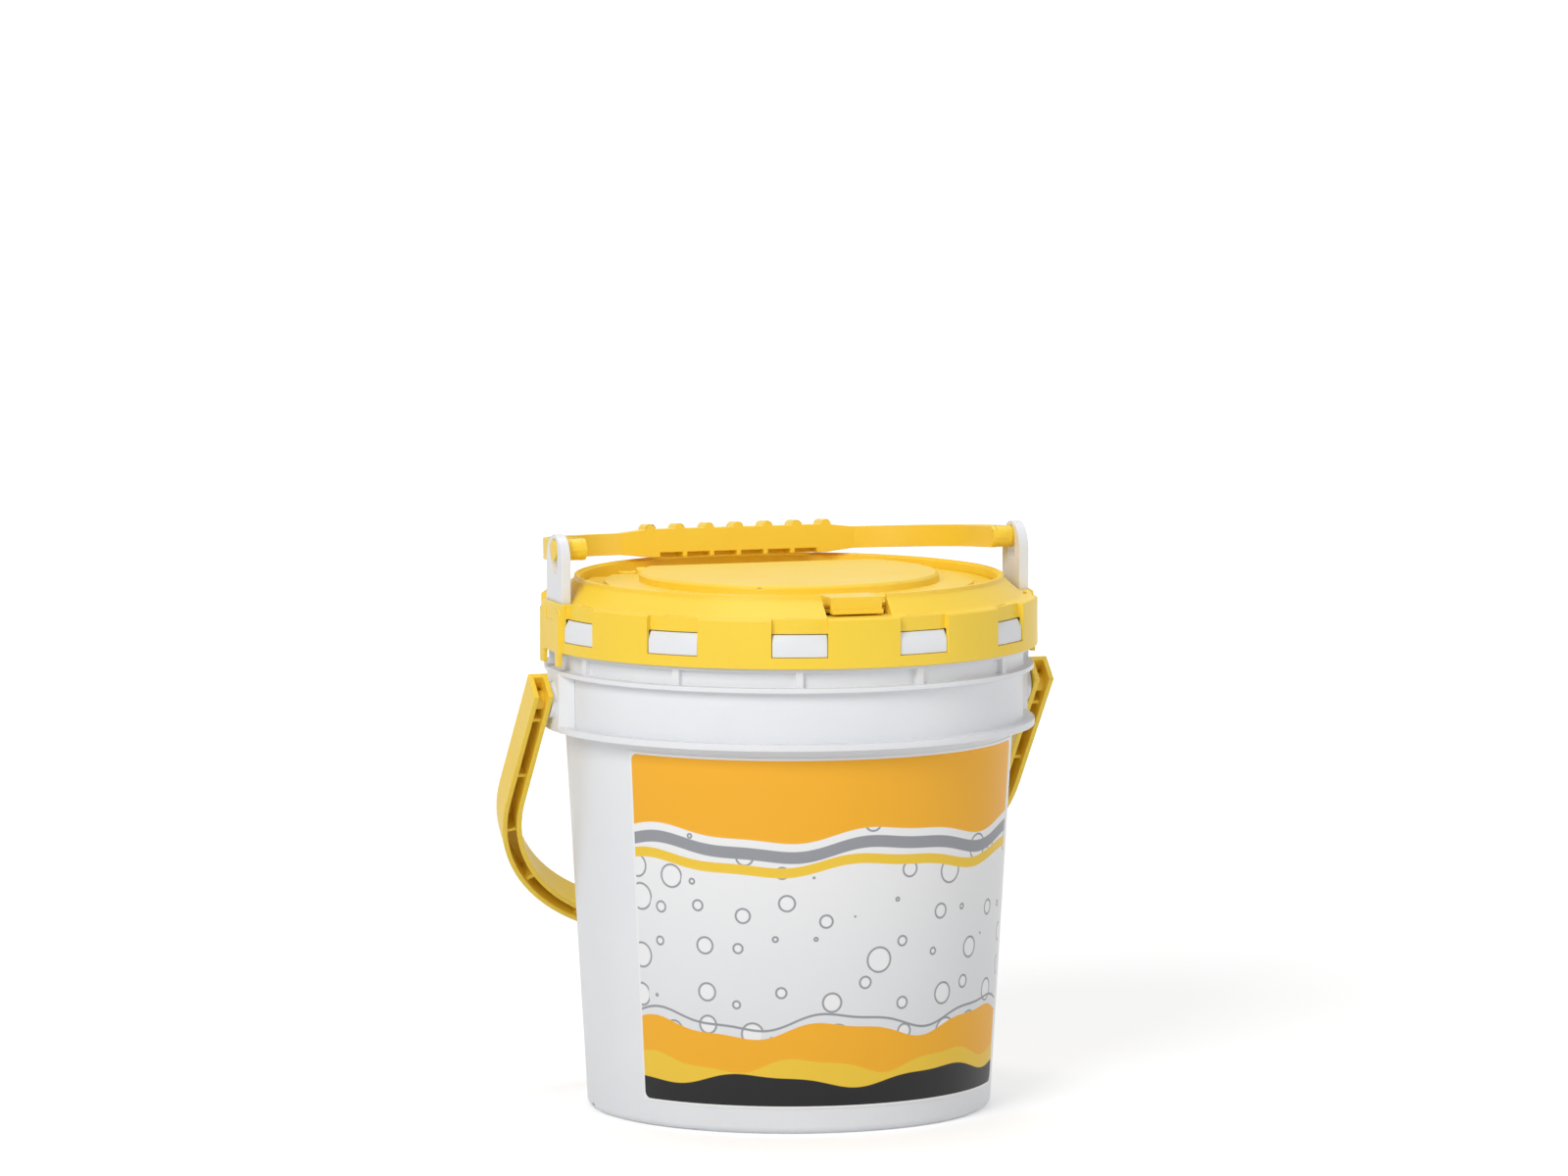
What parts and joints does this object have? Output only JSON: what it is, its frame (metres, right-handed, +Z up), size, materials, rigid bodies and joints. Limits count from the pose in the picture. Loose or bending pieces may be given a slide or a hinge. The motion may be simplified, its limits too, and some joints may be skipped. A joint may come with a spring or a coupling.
{
  "type": "bait bucket",
  "caption": "Drainer bait bucket: a lidded strainer bucket with a flip-up hatch lifts out of an outer pail, and both have swinging bail handles.",
  "frame": {"origin": "centre of the outer bucket's base, in the plane it stands on", "axes": "+Z up, -Y towards the front with the label and the hatch's latch, X along the bail pivots"},
  "size_m": [0.274, 0.2506, 0.2925],
  "materials": {
    "white_plastic": "moulded, fine satin",
    "strainer_plastic": "moulded, satin",
    "yellow_plastic": "moulded, fine satin",
    "label_film": "printed film"
  },
  "bodies": {
    "pail": {"outer_bucket": "white_plastic", "front_label": "label_film"},
    "pail_handle": {"outer_bail": "yellow_plastic"},
    "liner": {"inner_bucket": "white_plastic", "strainer_base": "strainer_plastic", "lid_ring": "yellow_plastic"},
    "liner_handle": {"inner_bail": "yellow_plastic"},
    "door": {"hatch": "yellow_plastic"}
  },
  "joints": [
    {"name": "liner_lift", "type": "slide", "parent": "pail", "child": "liner", "axis": [0, 0, 1], "range_m": [0, 0.241]},
    {"name": "pail_handle_swing", "type": "hinge", "parent": "pail", "child": "pail_handle", "pos_m": [0, 0, 0.20965], "axis": [1, 0, 0], "range_deg": [0, 276]},
    {"name": "liner_handle_swing", "type": "hinge", "parent": "liner", "child": "liner_handle", "pos_m": [0, 0, 0.2846], "axis": [1, 0, 0], "range_deg": [0, 187]},
    {"name": "hatch_hinge", "type": "hinge", "parent": "liner", "child": "door", "pos_m": [0, 0.06197, 0.2646], "axis": [-1, 0, 0], "range_deg": [0, 100]}
  ]
}
